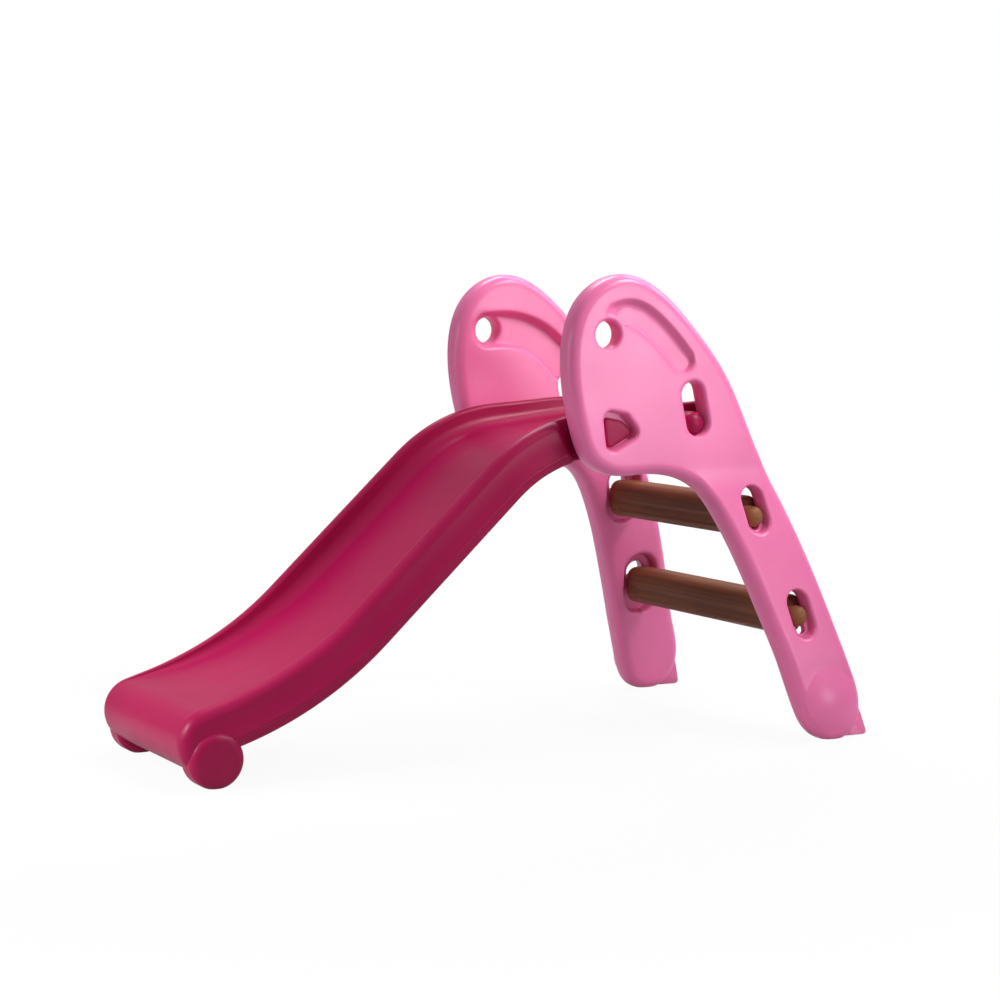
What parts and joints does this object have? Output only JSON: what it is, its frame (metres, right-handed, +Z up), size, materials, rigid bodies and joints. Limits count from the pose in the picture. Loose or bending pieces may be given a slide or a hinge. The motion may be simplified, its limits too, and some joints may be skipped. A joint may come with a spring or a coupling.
{
  "type": "toddler slide",
  "caption": "Free-standing toddler slide: a chute hooked between splayed side panels with hand holes, and rungs for climbing up behind; hollow moulded plastic, knock-down and tool-free",
  "frame": {"origin": "centre of the bounding box on the floor, in the plane of symmetry", "axes": "+X from the nose towards the ladder, +Z up, +Y to the right-hand panel as seen by a child sliding down"},
  "size_m": [1.0275, 0.5448, 0.6685],
  "materials": {
    "panel_plastic": "satin light pink polyethylene, softly rounded",
    "chute_plastic": "satin raspberry polyethylene",
    "rung_plastic": "satin brown polyethylene with fine streaks along the rung"
  },
  "bodies": {
    "root": {"side_panel_right": "panel_plastic", "side_panel_left": "panel_plastic", "chute": "chute_plastic", "upper_rung": "rung_plastic", "lower_rung": "rung_plastic"}
  },
  "joints": []
}
